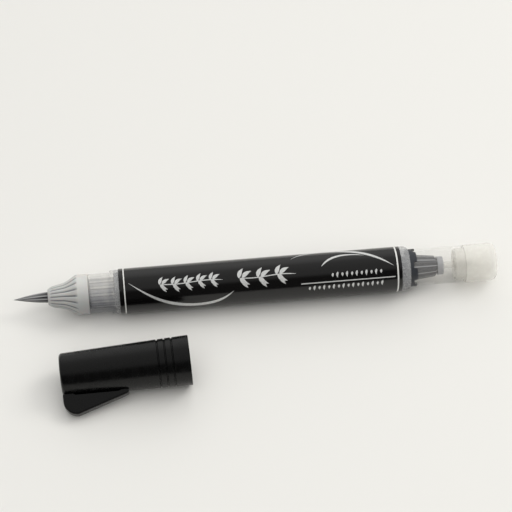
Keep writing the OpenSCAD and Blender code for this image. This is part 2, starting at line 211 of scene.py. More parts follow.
def revolved(name, outline, place, body, slot, material, replaces=(), segments=128, **more):
    """An open outline that starts and ends on the axis, turned about it; its poles are fans."""
    p = np.asarray(outline, float)[:, :2]
    angle = np.arange(segments) * TAU / segments
    rings = np.stack([np.outer(p[1:-1, 0], np.cos(angle)), np.outer(p[1:-1, 0], np.sin(angle)),
                      np.repeat(p[1:-1, 1:2], segments, 1)], -1).reshape(-1, 3)
    poles = np.array([[0, 0, p[0, 1]], [0, 0, p[-1, 1]]])
    points = placed(np.vstack([rings, poles]), place)
    faces = tube_faces(len(p) - 2, segments).tolist()
    first, last, k = len(rings), len(rings) + 1, (len(p) - 3) * segments
    for j in range(segments):
        n = (j + 1) % segments
        faces.append([first, n, j])
        faces.append([last, k + j, k + n])
    return piece(name, points, faces, body, slot, material, replaces, **more)


# ---------------------------------------------------------------- materials
def linear(code, alpha=1.0):
    """sRGB hex to a linear colour."""
    s = [int(code[i:i + 2], 16) / 255 for i in (1, 3, 5)]
    return tuple(c / 12.92 if c <= 0.04045 else ((c + 0.055) / 1.055) ** 2.4 for c in s) + (alpha,)


def add(tree, kind, settings=(), inputs=()):
    """Adds a node; settings are its properties, and inputs are values or sockets for its inputs."""
    made = tree.nodes.new(kind)
    for key, value in dict(settings).items():
        setattr(made, key, value)
    for key, value in dict(inputs).items():
        if isinstance(value, bpy.types.NodeSocket):
            tree.links.new(value, made.inputs[key])
        else:
            made.inputs[key].default_value = value
    return made


def surface(name, colour, roughness=0.4, **sockets):
    """A new material on the Principled shader, and its tree and shader to work on."""
    material = bpy.data.materials.new(name)
    material.use_nodes = True
    tree = material.node_tree
    shader = tree.nodes["Principled BSDF"]
    shader.inputs["Base Color"].default_value = linear(colour)
    shader.inputs["Roughness"].default_value = roughness
    for key, value in sockets.items():
        shader.inputs[key.replace("_", " ")].default_value = value
    return material, tree, shader


def grain(tree, shader, size_mm, strength, distance_mm, low, high, stretch=(1, 1, 1)):
    """Moulding texture: noise of the given size, as a bump and as roughness between low and high."""
    where = add(tree, "ShaderNodeTexCoord").outputs["Object"]
    turn = add(tree, "ShaderNodeMapping", {}, {"Vector": where, "Scale": stretch})
    noise = add(tree, "ShaderNodeTexNoise", {},
                {"Vector": turn.outputs["Vector"], "Scale": 1 / (size_mm * MM), "Detail": 3.0})
    rough = add(tree, "ShaderNodeMapRange", {}, {"Value": noise.outputs["Fac"], "From Min": 0.3,
                                                 "From Max": 0.7, "To Min": low, "To Max": high})
    tree.links.new(rough.outputs["Result"], shader.inputs["Roughness"])
    if strength:
        bump = add(tree, "ShaderNodeBump", {},
                   {"Height": noise.outputs["Fac"], "Strength": strength, "Distance": distance_mm * MM})
        tree.links.new(bump.outputs["Normal"], shader.inputs["Normal"])
    return noise.outputs["Fac"]


def ramped(tree, factor, stops):
    """Colour from a factor through a ramp of (position, linear colour) stops."""
    ramp = add(tree, "ShaderNodeValToRGB", {}, {"Fac": factor})
    ends = ramp.color_ramp.elements
    for k, (place, colour) in enumerate(stops):
        stop = ends[k] if k < 2 else ends.new(place)
        stop.position = place
        stop.color = colour
    return ramp.outputs["Color"]


def tinted(tree, shader, factor, stops):
    """Base colour from a factor through a ramp of (position, hex) stops."""
    colour = ramped(tree, factor, [(place, linear(code)) for place, code in stops])
    tree.links.new(colour, shader.inputs["Base Color"])


def round_axis(tree, count):
    """Wave that is 1 on each of count lines round the pen's axis and 0 between them."""
    where = add(tree, "ShaderNodeTexCoord").outputs["Object"]
    centred = add(tree, "ShaderNodeMapping", {}, {"Vector": where, "Location": (0, -pen_y, -pen_z)})
    parts = add(tree, "ShaderNodeSeparateXYZ", {}, {"Vector": centred.outputs["Vector"]})
    turn = add(tree, "ShaderNodeMath", {"operation": "ARCTAN2"},
               {0: parts.outputs["Z"], 1: parts.outputs["Y"]})
    many = add(tree, "ShaderNodeMath", {"operation": "MULTIPLY"}, {0: turn.outputs[0], 1: float(count)})
    wave = add(tree, "ShaderNodeMath", {"operation": "COSINE"}, {0: many.outputs[0]})
    half = add(tree, "ShaderNodeMath", {"operation": "MULTIPLY_ADD"}, {0: wave.outputs[0], 1: 0.5, 2: 0.5})
    return half.outputs[0]


def make_label_black():
    # Gloss polypropylene film, gravure printed black inside: a hard even shine with faint waviness.
    material, tree, shader = surface("printed_film_black", "#0b0a0a", 0.12, IOR=1.49)
    grain(tree, shader, 9, 0.04, 0.05, 0.08, 0.2, (0.25, 1, 1))
    return material


def make_silver_print():
    # Metallic silver ink on film: fine flakes give a soft grey shine.
    material, tree, shader = surface("silver_ink", "#d2d3d2", 0.38, Metallic=0.25)
    fac = grain(tree, shader, 0.25, 0.15, 0.01, 0.3, 0.5)
    tinted(tree, shader, fac, [(0.3, "#c4c5c5"), (0.7, "#e2e3e2")])
    return material


def make_white_print():
    # White screen-printed ink: matt, even, nearly opaque.
    material, tree, shader = surface("white_ink", "#e9e9e6", 0.45)
    grain(tree, shader, 0.4, 0.1, 0.01, 0.4, 0.55)
    return material


def make_natural(name, colour, dark, alpha):
    # Unpigmented polypropylene, injection moulded: milky, satin, lets light through blurred.
    material, tree, shader = surface(name, colour, 0.25, IOR=1.49, Alpha=alpha)
    fac = grain(tree, shader, 1.5, 0.08, 0.03, 0.18, 0.32)
    tinted(tree, shader, fac, [(0.3, dark), (0.7, colour)])
    return material


def make_clear():
    # Clear polystyrene: glassy, with slight flow waves from the mould.
    material, tree, shader = surface("clear_polystyrene", "#f2f2ee", 0.08, IOR=1.58, Alpha=0.07)
    fac = grain(tree, shader, 4, 0.05, 0.05, 0.04, 0.12)
    tinted(tree, shader, fac, [(0.3, "#f6f3ea"), (0.7, "#fffdf6")])
    return material


def on_pen(tree, direction, first, last):
    """Ramp from 0 to 1 along a direction from the brush tip on the axis, between two distances in mm."""
    where = add(tree, "ShaderNodeTexCoord").outputs["Object"]
    local = add(tree, "ShaderNodeVectorMath", {"operation": "SUBTRACT"}, {0: where, 1: (tip_x, pen_y, pen_z)})
    dot = add(tree, "ShaderNodeVectorMath", {"operation": "DOT_PRODUCT"}, {0: local.outputs[0], 1: direction})
    return add(tree, "ShaderNodeMapRange", {}, {"Value": dot.outputs["Value"], "From Min": first * MM,
                                                "From Max": last * MM}).outputs["Result"]


def make_stained_and_shaded_clear():
    # Clear polystyrene over ink: grey-blue pigment clouds it in patches, and it darkens towards its lower
    # front side, which is painted shade together with ink pooled at the bottom.
    material, tree, shader = surface("inked_polystyrene_painted_shade", "#cfd0d0", 0.15, IOR=1.58, Alpha=0.3)
    grain(tree, shader, 4, 0.06, 0.05, 0.1, 0.25)
    where = add(tree, "ShaderNodeTexCoord").outputs["Object"]
    patches = add(tree, "ShaderNodeMapping", {}, {"Vector": where, "Scale": (1.0, 0.6, 0.6)})
    noise = add(tree, "ShaderNodeTexNoise", {}, {"Vector": patches.outputs["Vector"], "Scale": 420.0,
                                                 "Detail": 2.0})
    # Painted shade with ink pooled at the bottom: darker towards the lower front side.
    ink_and_painted_shade = on_pen(tree, (0, -0.55, -0.83), -3.5, 5.5)
    both = add(tree, "ShaderNodeMath", {"operation": "MULTIPLY_ADD"},
               {0: ink_and_painted_shade, 1: 0.7, 2: noise.outputs["Fac"]})
    tinted(tree, shader, both.outputs[0], [(0.42, "#eceae4"), (0.8, "#c0c1c5"), (1.0, "#80828b")])
    return material


def make_frosted():
    # Frosted polypropylene nose: etched mould, darker in the gaps between the grip ribs of the flare, and
    # darker towards its lower front side, which is painted shade together with the ink inside.
    material, tree, shader = surface("frosted_polypropylene", "#d4d5d4", 0.45, IOR=1.49,
                                     Subsurface_Weight=0.15, Subsurface_Scale=0.8 * MM)
    grain(tree, shader, 0.3, 0.15, 0.02, 0.35, 0.55)
    lines = round_axis(tree, NOSE_RIBS)
    ribbed = add(tree, "ShaderNodeMath", {"operation": "SUBTRACT"},
                 {0: on_pen(tree, (1, 0, 0), 11.1, 11.6), 1: on_pen(tree, (1, 0, 0), 18.6, 19.6)})
    # Darker in the gaps between the grip ribs, on the flare only.
    gaps = add(tree, "ShaderNodeMapRange", {"interpolation_type": "SMOOTHSTEP"},
               {"Value": lines, "From Min": 0.02, "From Max": 0.3, "To Min": 0.7, "To Max": 0.0})
    rib_gap_darkening = add(tree, "ShaderNodeMath", {"operation": "MULTIPLY"},
               {0: gaps.outputs["Result"], 1: ribbed.outputs[0]})
    # Painted shade with the ink inside: darker towards the lower front side.
    ink_and_painted_shade = on_pen(tree, (0, -0.55, -0.83), -6.5, 6.5)
    shade = add(tree, "ShaderNodeMath", {"operation": "MULTIPLY_ADD"},
                {0: ink_and_painted_shade, 1: 0.35, 2: rib_gap_darkening.outputs[0]})
    tinted(tree, shader, shade.outputs[0], [(0.0, "#d6d6d3"), (0.35, "#acadae"), (1.0, "#6a6c71")])
    return material


def make_housing():
    # Pale polypropylene housing, paler on its ribs and darker in the corners beside them.
    material, tree, shader = surface("ribbed_housing_polypropylene", "#b9babd", 0.4, IOR=1.49)
    grain(tree, shader, 0.35, 0.12, 0.02, 0.35, 0.5)
    tinted(tree, shader, round_axis(tree, HOUSING_RIBS),
           [(0.0, "#e0dfdb"), (0.16, "#cfcfcd"), (0.3, "#5f6168"), (0.5, "#a9aaad"), (1.0, "#b9babd")])
    return material


def make_sleeve():
    # Slate polypropylene sleeve, with a painted highlight: a thin pale line runs along it once in every rib
    # pitch, with dark bands beside it.
    material, tree, shader = surface("slate_polypropylene", "#494b56", 0.35, IOR=1.49)
    grain(tree, shader, 0.35, 0.12, 0.02, 0.25, 0.4)
    # Painted highlight: a thin pale line along the ribbing in each rib pitch.
    tinted(tree, shader, round_axis(tree, SLEEVE_RIBS),
           [(0.0, "#a5a6ab"), (0.03, "#7c7e86"), (0.13, "#262831"), (0.5, "#2f313b"), (1.0, "#353741")])
    return material


def make_plastic(name, colour, dark, rough=(0.35, 0.5)):
    # Opaque injection-moulded polypropylene with a fine spark-eroded texture.
    material, tree, shader = surface(name, colour, rough[0], IOR=1.49)
    fac = grain(tree, shader, 0.35, 0.12, 0.02, *rough)
    tinted(tree, shader, fac, [(0.3, dark), (0.7, colour)])
    return material


def make_cap_black():
    # Black ABS, polished mould: deep gloss with faint waviness and handling haze.
    material, tree, shader = surface("black_abs", "#070707", 0.2, IOR=1.5, Specular_IOR_Level=0.3)
    grain(tree, shader, 2.2, 0.10, 0.04, 0.16, 0.34)
    return material


def make_steel(name, colour, rough):
    # Drawn or ground stainless steel.
    material, tree, shader = surface(name, colour, rough, Metallic=1.0)
    grain(tree, shader, 0.3, 0.05, 0.01, rough, rough + 0.15)
    return material


def make_rubber():
    # Moulded nitrile rubber: matt black.
    material, tree, shader = surface("nitrile_rubber", "#17181a", 0.7)
    grain(tree, shader, 0.3, 0.2, 0.02, 0.6, 0.8)
    return material


def make_felt():
    # Pressed polyester felt soaked in grey ink: dull and fibrous.
    material, tree, shader = surface("inked_felt", "#5a5c60", 0.9)
    fac = grain(tree, shader, 0.15, 0.6, 0.05, 0.85, 0.95)
    tinted(tree, shader, fac, [(0.3, "#43454a"), (0.7, "#74767a")])
    return material


def make_fibre():
    # Tapered nylon filaments wet with silver pigment; each filament has its own shade, and those at the edges
    # of the clumps are darker, most towards the mouth, as painted shade of the gaps between clumps.
    material, tree, shader = surface("nylon_filaments", "#6f7072", 0.35)
    shade = add(tree, "ShaderNodeAttribute", {"attribute_name": "shade"})
    tinted(tree, shader, shade.outputs["Fac"], [(0.0, "#38383a"), (0.45, "#8d8e8f"), (1.0, "#cfd0d0")])
    return material


LABEL_BLACK = make_label_black()
SILVER = make_silver_print()
WHITE_PRINT = make_white_print()
NATURAL = make_natural("natural_polypropylene", "#c9cacb", "#b3b4b7", 0.4)
MILKY = make_natural("milky_polypropylene", "#fffdf7", "#faf8f1", 0.36)
CLEAR = make_clear()
INKED_WITH_PAINTED_SHADE = make_stained_and_shaded_clear()
FROSTED = make_frosted()
WHITE = make_plastic("white_polypropylene", "#d9d9d6", "#c4c4c1")
GREY = make_plastic("grey_polypropylene", "#a8a9ad", "#8f9095")
HOUSING = make_housing()
BRUSH_CORE = make_plastic("soaked_fibre_core", "#5a5a5c", "#3c3c3e", (0.5, 0.7))
DARK_GREY = make_sleeve()
CHARCOAL = make_plastic("charcoal_polypropylene", "#3b3e44", "#2b2d32")
INNER = make_plastic("inner_cap_polypropylene", "#4b4c4e", "#3a3b3d")
CAP_BLACK = make_cap_black()
SPRING = make_steel("spring_wire", "#b7b8ba", 0.3)
BALL = make_steel("steel_ball", "#c6c7c9", 0.12)
RUBBER = make_rubber()
FELT = make_felt()
FIBRE = make_fibre()


# ---------------------------------------------------------------- nose and collar
def flare(t):
    """Outer radius and station of the flare for t from 0 to 1; the radius grows as t to the power 1.3."""
    return 3.6 + 2.4 * t**1.3, 14.9 + 4.4 * t


def build_nose():
    """Nose shell: a slim mouth ring, a ribbed flare and a plain skirt, bored for the brush holder."""
    mouth_bore, holder_bore, skirt_bore, skirt = 1.75, 2.25, 5.3, 6.0
    rib_start, rib_end, seat = nose_0 + 1.4, 19.35, 16.5
    outline = [(mouth_bore, nose_0 + 0.3), (2.35, nose_0), (2.78, nose_0 + 0.7), (2.86, nose_0 + 1.1, 0.3),
               (2.95, rib_start, 1.0)]
    outline += [(*flare(t), 1.0) for t in np.linspace(0, 0.94, 12)]
    outline += [(skirt, rib_end, 0.3), (skirt, 19.7), (skirt, nose_1), (skirt_bore, nose_1),
                (skirt_bore, 19.6), (holder_bore, seat), (holder_bore, rib_start), (mouth_bore, rib_start)]
    turned("nose_ribbed_shell", filleted(outline, 0.12), PEN, "pen", "frosted_plastic", FROSTED,
           ["nose_cone"], ribs=(NOSE_RIBS, 0.2, 0.55), segments=NOSE_RIBS * 14)


def build_collar():
    """Clear collar with its groove, flange, seal groove and latch windows, and the housing inside it."""
    bore, spigot, window, plug, seal_floor = 4.5, 5.25, 5.85, 5.65, 4.88
    groove, groove_r, flange, seal, seal_half = 24.6, 5.78, 29.2, 34.0, 0.45
    outline = [(bore, collar_0), (spigot - 0.2, collar_0), (spigot, collar_0 + 0.3), (spigot, nose_1),
               (window, nose_1), (window, groove), (groove_r, groove + 0.1), (groove_r, groove + 0.25),
               (window, groove + 0.35), (window, flange), (flange_r - 0.15, flange),
               (flange_r, flange + 0.15), (flange_r, barrel_0), (plug, barrel_0), (plug, seal - seal_half),
               (seal_floor, seal - seal_half), (seal_floor, seal + seal_half), (plug, seal + seal_half),
               (plug, collar_1), (bore, collar_1)]
    made = turned("collar_clear_window", filleted(outline, 0.1), PEN, "pen", "clear_plastic", INKED_WITH_PAINTED_SHADE,
                  ["front_collar"])
    latch_turns = (21, 201)
    cut(made, PEN, [(5.6, 6.2, -0.85, 0.85, nose_1 + 0.3, nose_1 + 1.6, turn) for turn in latch_turns])
    chamber, shell, stop = 3.3, 4.15, 5.5
    stop_0, stop_1 = collar_1 + 0.1, collar_1 + 0.9
    outline = [(chamber, housing_0), (shell, housing_0, 1.0), (shell, collar_1, 1.0), (stop, stop_0),
               (stop, stop_1), (shell, stop_1), (shell, housing_1), (chamber, housing_1)]
    turned("valve_housing_ribbed", filleted(outline, 0.08), PEN, "pen", "grey_plastic", HOUSING,
           ["valve_housing"], ribs=(HOUSING_RIBS, 0.22, 0.35), segments=HOUSING_RIBS * 14)


def cut(made, place, boxes):
    """Cuts boxes (x0, x1, y0, y1, z0, z1, turn about the axis in degrees) out of a piece."""
    for x0, x1, y0, y1, z0, z1, turn in boxes:
        corners = np.array([(x, y, z) for x in (x0, x1) for y in (y0, y1) for z in (z0, z1)])
        c, s = math.cos(math.radians(turn)), math.sin(math.radians(turn))
        corners[:, :2] = corners[:, :2] @ np.array([[c, s], [-s, c]])
        mesh = bpy.data.meshes.new("cutter")
        mesh.from_pydata(placed(corners, place).tolist(), [],
                         [(0, 1, 3, 2), (4, 6, 7, 5), (0, 4, 5, 1), (2, 3, 7, 6), (0, 2, 6, 4), (1, 5, 7, 3)])
        cutter = bpy.data.objects.new("cutter", mesh)
        bpy.context.scene.collection.objects.link(cutter)
        boolean = made.modifiers.new("cut", "BOOLEAN")
        boolean.operation = "DIFFERENCE"
        boolean.solver = "EXACT"
        boolean.object = cutter
        shape = bpy.data.meshes.new_from_object(made.evaluated_get(bpy.context.evaluated_depsgraph_get()))
        made.modifiers.clear()
        made.data = shape
        bpy.data.objects.remove(cutter)
    made.data.shade_smooth()
    made.data.set_sharp_from_angle(angle=math.radians(40))


# ---------------------------------------------------------------- tank, label and print
def build_barrel():
    """Tank tube with its front rim and rounded rear shoulder, and the film wrapped round it."""
    tank, tube, neck, rim, crown_r = 5.7, label_r - 0.2, 5.75, 6.5, 6
    neck_depth = 1.68
    shoulder_0, shoulder_1 = label_1 + 0.2, barrel_1 - 0.2
    crown = [(crown_r + (label_r - crown_r) * math.cos(a),
              shoulder_0 + (shoulder_1 - shoulder_0) * math.sin(a)) for a in np.linspace(0, math.pi / 2, 9)]
    outline = [(tank, barrel_0), (rim - 0.2, barrel_0), (rim, barrel_0 + 0.2), (rim, label_0),
               (tube, label_0), (tube, label_1), (label_r, label_1)] + crown
    outline += [(neck, barrel_1), (neck, label_1 - neck_depth), (tank, label_1 - neck_depth)]
    turned("barrel_tank", filleted(outline, 0.08), PEN, "pen", "natural_plastic", NATURAL, ["barrel"])
    outline = [(tube, label_0), (label_r, label_0), (label_r, label_1), (tube, label_1)]
    turned("label_gloss_film", filleted(outline, 0.05), PEN, "pen", "label_black", LABEL_BLACK,
           ["label_film"], segments=192)


def bowed(ends, bend, n=48):
    """Quadratic curve through two ends (station, arc length) pulled towards a third point."""
    t = np.linspace(0, 1, n)[:, None]
    a, b = np.array(ends, float)
    return (1 - t)**2 * a + 2 * t * (1 - t) * np.array(bend, float) + t**2 * b


def stroke(path, half, across=3):
    """Points and faces of a thin closed inlay along a path on the label.

    At each point of the path, across points lie on the line at right angles to it, out to plus and minus
    half, on a cylinder just over the label; the same points just under the label close the section.
    """
    d = np.gradient(path, axis=0)
    d /= np.hypot(d[:, 0], d[:, 1])[:, None]
    side = np.stack([-d[:, 1], d[:, 0]], -1)
    c = np.linspace(-1, 1, across)
    flat = path[:, None] + side[:, None] * (c[None, :] * half[:, None])[..., None]
    flat = np.concatenate([flat, flat[:, ::-1]], 1)
    radius = np.where(np.arange(2 * across) < across, label_r + PRINT_PROUD, label_r - PRINT_SUNK)
    theta = flat[..., 1] / label_r
    x = tip_x / MM + flat[..., 0]
    y = pen_y / MM + radius * np.cos(theta)
    z = pen_z / MM + radius * np.sin(theta)
    points = np.stack([x, y, z], -1).reshape(-1, 3) * MM
    n, m = len(path), 2 * across
    faces = tube_faces(n, m).tolist() + [list(range(m))[::-1], list(range((n - 1) * m, n * m))]
    return points, faces


def joined(parts):
    """One list of points and one of faces out of many."""
    points, faces, first = [], [], 0
    for p, f in parts:
        points.append(p)
        faces += [[first + v for v in face] for face in f]
        first += len(p)
    return np.vstack(points), faces


def sweep(ends, bend, widest, skew=1.0, **more):
    """Pointed arc: half width is widest / 2 times sin(pi * t**skew), to the power 0.8."""
    path = bowed(ends, bend)
    t = np.linspace(0, 1, len(path))
    return stroke(path, 0.01 + widest / 2 * np.sin(np.pi * t**skew)**0.8, **more)


def leaf(s, u, length, width, lean):
    """Bamboo leaf from a stem at (s, u): its half width is width / 2 times sin(pi * t**0.75)."""
    c, w = math.cos(math.radians(lean)), math.sin(math.radians(lean))
    t = np.linspace(0, 1, 16)
    bow = 0.1 * length * np.sin(np.pi * t) * np.sign(lean)
    path = np.stack([s + c * length * t - w * bow, u + w * length * t + c * bow], -1)
    return stroke(path, 0.02 + width / 2 * np.sin(np.pi * t**0.75)**1.1, across=5)


def sprig(s, u, high):
    """Four leaves that spread to both sides of a stem, high from tip to tip."""
    fan = [(-0.05, -64, 0.50), (0.10, -34, 0.52), (0.00, 36, 0.52), (0.14, 66, 0.50)]
    return [leaf(s + a * high, u, length * high * 1.05, 0.19 * high, lean) for a, lean, length in fan]


def build_print():
    """Silver decoration: three pointed arcs, two leafy stems, two rows of small leaves and a line.

    It is set out flat, as stations and arc lengths round the label, then laid on the label's cylinder.
    Two pale rings close the label's ends.
    """
    turn = math.radians(4) * label_r
    front_arc = sweep([(34.5, 12.2 + turn), (65.5, 17.0 + turn)], (54, 27.4 + turn), 1.25, 1.15)
    rear_arc = sweep([(83, 8.4 + turn), (113.5, 13.4 + turn)], (94, -0.5 + turn), 1.1, 1.3)
    short_arc = sweep([(91.9, 11.9 + turn), (105, 9.1 + turn)], (96.5, 6.5 + turn), 0.7, 0.8)
    parts = [front_arc, rear_arc, short_arc]
    row = math.radians(118) * label_r
    front_stem, rear_stem = (43.6, 62.4, 4.9, 3.75), (67.2, 84.2, 6.4, 5.6)
    for first, last, high, step in (front_stem, rear_stem):
        stem = np.linspace(first, last, 40)
        wave = row + 0.25 * np.sin((stem - first) / (last - first) * TAU)
        ends = np.minimum(1, np.linspace(0, 40, 40) * np.linspace(40, 0, 40) / 160)
        parts.append(stroke(np.stack([stem, wave], -1), 0.03 + 0.11 * ends))
        for s in np.arange(first + 0.3, last - 0.35 * high, step):
            parts += sprig(s, np.interp(s, stem, wave), high)
    upper_row, lower_row, pitch = (129.5, 95.2, 110.4), (160.5, 88.2, 110.6), 1.45
    for theta, first, last in (upper_row, lower_row):
        for k, s in enumerate(np.arange(first, last, pitch)):
            high = 1.75 if k % 2 else 1.2
            parts.append(leaf(s, math.radians(theta) * label_r - high / 2, high, 0.62, 96))
    line_first, line_last, line_turn, line_half, steps = 85.5, 113.7, 146, 0.17, 12
    along = np.linspace(line_first, line_last, steps)
    line = np.stack([along, np.full(steps, math.radians(line_turn) * label_r)], -1)
    parts.append(stroke(line, np.full(steps, line_half)))
    points, faces = joined(parts)
    piece("label_silver_print", points, faces, "pen", "label_print", SILVER, sharp=60)
    for name, middle, half in (("label_front_line", 33.3, 0.17), ("label_rear_line", 114.6, 0.21)):
        low, high = label_r - PRINT_SUNK, label_r + PRINT_PROUD
        outline = [(low, middle - half), (high, middle - half), (high, middle + half), (low, middle + half)]
        turned(name, outline, PEN, "pen", "label_print", WHITE_PRINT, segments=192)


# ---------------------------------------------------------------- tail
def build_tail():
    """Claw ring, ribbed sleeve and its end ring, and the clear knob with its milky end.

    The claw ring's notches and the knob's front edge interlock, so both have six of them.
    """
    claws, claw_bore = 6, 4.95
    outline = [(claw_bore, claw_0), (claw_r, claw_0), (claw_r, claw_1, 1.0), (claw_bore, claw_1, 1.0)]
    turned("claw_ring_castellated", filleted(outline, 0.12), PEN, "knob", "charcoal_plastic", CHARCOAL,
           ["claw_ring"], notches=(claws, 1.0, 0.38), segments=240)
    rod_bore, spring_bore, neck, base, top = 1.1, 2.0, 2.4, 3.7, 2.9
    step_s, rib_0, rib_1 = 113, 119.6, 126.5
    outline = [(rod_bore, sleeve_0), (base, sleeve_0), (base, rib_0 - 0.2), (base, rib_0, 1.0),
               (top + 0.02, rib_1, 1.0), (top, rib_1 + 0.2), (neck, rib_1 + 0.2), (neck, sleeve_1),
               (spring_bore, sleeve_1), (spring_bore, step_s), (rod_bore, step_s)]
    turned("tail_sleeve_ribbed", filleted(outline, 0.08), PEN, "pen", "dark_grey_plastic", DARK_GREY,
           ["tail_sleeve"], ribs=(SLEEVE_RIBS, 0.18, 0.22), segments=SLEEVE_RIBS * 20)
    ring_bore, seat = neck + 0.02, sleeve_1 + 0.02
    outline = [(ring_bore, ring_0), (ring_r, ring_0), (ring_r, ring_1), (rod_bore, ring_1),
               (rod_bore, seat), (ring_bore, seat)]
    turned("sleeve_end_ring", filleted(outline, 0.14), PEN, "pen", "grey_plastic", GREY, ["sleeve_ring"])
    bore, tube, wide, step, joint = 4.8, 5.6, 5.75, 134.5, end_1 - 9.6
    start = claw_1
    outline = [(bore, start, 1.0), (tube, start, 1.0), (tube, start + 0.4), (tube, step),
               (wide, step + 0.2), (wide, joint), (bore, joint), (bore, start + 0.4)]
    made = turned("knob_clear_tube", filleted(outline, 0.1), PEN, "knob", "clear_plastic", CLEAR,
                  ["push_knob"], notches=(claws, 0.95, 0.333), segments=240)
    window_turns = (124, 304)
    cut(made, PEN, [(4.3, 6.3, -1.1, 1.1, start + 5.5, start + 11.7, turn) for turn in window_turns])
    round_r, rod_r, rod_end, boss, wall_in, wall_out = 1.8, 1.02, 138.52, 1.9, 3.9, 4.77
    floor = end_1 - 1.9
    dome = [(end_r - round_r + round_r * math.cos(a), end_1 - round_r + round_r * math.sin(a))
            for a in np.linspace(0, math.pi / 2, 11)]
    outline = [(0, rod_end), (rod_r, rod_end), (rod_r, end_0), (boss, end_0), (boss, floor),
               (wall_in, floor), (wall_in, end_0), (wall_out - 0.2, end_0), (wall_out, end_0 + 0.3),
               (wall_out, joint + 0.02), (end_r, joint + 0.02)] + dome + [(0, end_1)]
    revolved("knob_milky_end", filleted(outline, 0.12, closed=False), PEN, "knob", "natural_plastic",
             MILKY, ["knob_end_plug"])


# ---------------------------------------------------------------- brush
def build_brush():
    """Filaments on golden-angle spirals, drawn together along the bundle's outline.

    A filament's distance from the axis is its share of the bundle's radius, r(s) = 1.6 * (1 - (1 - s / 10.5)
    ** 1.5), and its turn leans towards the middle of its clump by an amount that grows to the mouth. It
    ends at its own station near the tip, and its thickness falls with the square root of what is left.
    """
    rng = np.random.default_rng(7)
    count, sides, rings, clumps, root = 300, 5, 16, 9, 12.6
    share = np.sqrt((np.arange(count) + 0.5) / count)
    turn = np.arange(count) * GOLDEN_ANGLE
    clump = np.round(turn * clumps / TAU) / clumps * TAU
    away = (turn - clump) * clumps / math.pi
    end = 0.05 + 2.4 * rng.random(count)**2.2 + 1.6 * share**6 * rng.random(count)
    t = np.linspace(0, 1, rings)
    s = end[:, None] + (root - end[:, None]) * t**1.3
    bundle = 1.6 * (1 - (1 - np.clip(s / 10.5, 0, 1))**1.5)
    pull = 0.3 * np.clip(s / 10.5, 0, 1)**2
    angle = turn[:, None] - pull * (turn - clump)[:, None] + 0.05 * np.sin(3 * t + 9 * share[:, None])
    depth = 1 - 0.10 * np.abs(away)[:, None]**3 * np.clip(s / 8, 0, 1)
    radius = (bundle - 0.06) * (share[:, None] * depth).clip(0, 1)
    thick = 0.012 + 0.095 * np.sqrt(t) * np.clip(0.35 + s / 9, 0, 1)
    around = np.arange(sides) * TAU / sides
    x = (radius * np.cos(angle))[..., None] + thick[..., None] * np.cos(around)
    y = (radius * np.sin(angle))[..., None] + thick[..., None] * np.sin(around)
    z = np.repeat(s[..., None], sides, 2)
    points = placed(np.stack([x, y, z], -1).reshape(-1, 3), PEN)
    one = tube_faces(rings, sides).tolist() + [list(range(sides))[::-1],
                                               list(range((rings - 1) * sides, rings * sides))]
    faces = [[v + k * rings * sides for v in face] for k in range(count) for face in one]
    made = piece("brush_filaments", points, faces, "pen", "brush_fibre", FIBRE, ["brush_tip"])
    # Each filament's tone differs at random; those at the edges of their clumps are darker, most towards the
    # mouth: painted shade of the gaps between the clumps.
    shade = 0.35 + 0.5 * rng.random(count) - 0.4 * np.abs(away)**2
    tint = shade[:, None] - 0.35 * np.clip((s - 6.5) / 4, 0, 1) * np.abs(away)[:, None]
    values = np.repeat(tint[..., None], sides, 2).reshape(-1)
    made.data.attributes.new("shade", "FLOAT", "POINT").data.foreach_set("value", values.astype(np.float32))
    core, core_end, tube_r, tube_end = 1.5, 17, 0.72, 14
    body = [(1.25 * (1 - (1 - k)**1.5), 1.2 + 9.3 * k) for k in np.linspace(0, 1, 9)]
    outline = body + [(core, root), (core, core_end), (tube_r, core_end), (tube_r, tube_end), (0, tube_end)]
    revolved("brush_core", outline, PEN, "pen", "brush_fibre", BRUSH_CORE, ["brush_tip"], segments=48)


# ---------------------------------------------------------------- cap
def cap_radius(z):
    """Outer radius of the cap's straight taper at a station, in mm."""
    return CLOSED_R + (MOUTH_R - CLOSED_R) * z / CAP_LEN


def build_cap():
    """Tapered shell, closed and rounded at one end, with three grooves by its mouth, and the cup in it."""
    edge, wall, floor = 0.9, 0.7, 1.2
    grooves, groove_half, groove_depth = (28.4, 30.5, 32.6), 0.27, 0.3
    corner = [(CLOSED_R - edge + edge * math.sin(a), edge - edge * math.cos(a))
              for a in np.linspace(0, math.pi / 2, 9)]
    outline = [(0, 0)] + corner
    for z in grooves:
        outer, inner = cap_radius(z), cap_radius(z) - groove_depth
        outline += [(outer, z - groove_half), (inner, z - 0.1), (inner, z + 0.1), (outer, z + groove_half)]
    outline += [(MOUTH_R, CAP_LEN), (MOUTH_R - wall, CAP_LEN), (cap_radius(floor) - wall, floor), (0, floor)]
    revolved("cap_gloss_shell", filleted(outline, 0.1, closed=False), CAP, "cap", "cap_black", CAP_BLACK,
             ["cap_shell"], segments=192)
    cup_0, cup_1, cup_r, cup_bore, cup_floor = floor + 0.03, floor + 0.03 + 21.4, 5.3, 4.75, 0.7
    outline = [(0, cup_0), (cup_r, cup_0), (cup_r, cup_1), (cup_bore, cup_1), (cup_bore, cup_0 + cup_floor),
               (0, cup_0 + cup_floor)]
    revolved("inner_cap_cup", filleted(outline, 0.15, closed=False), CAP, "cap", "inner_cap_plastic", INNER,
             ["inner_cap"], segments=96)


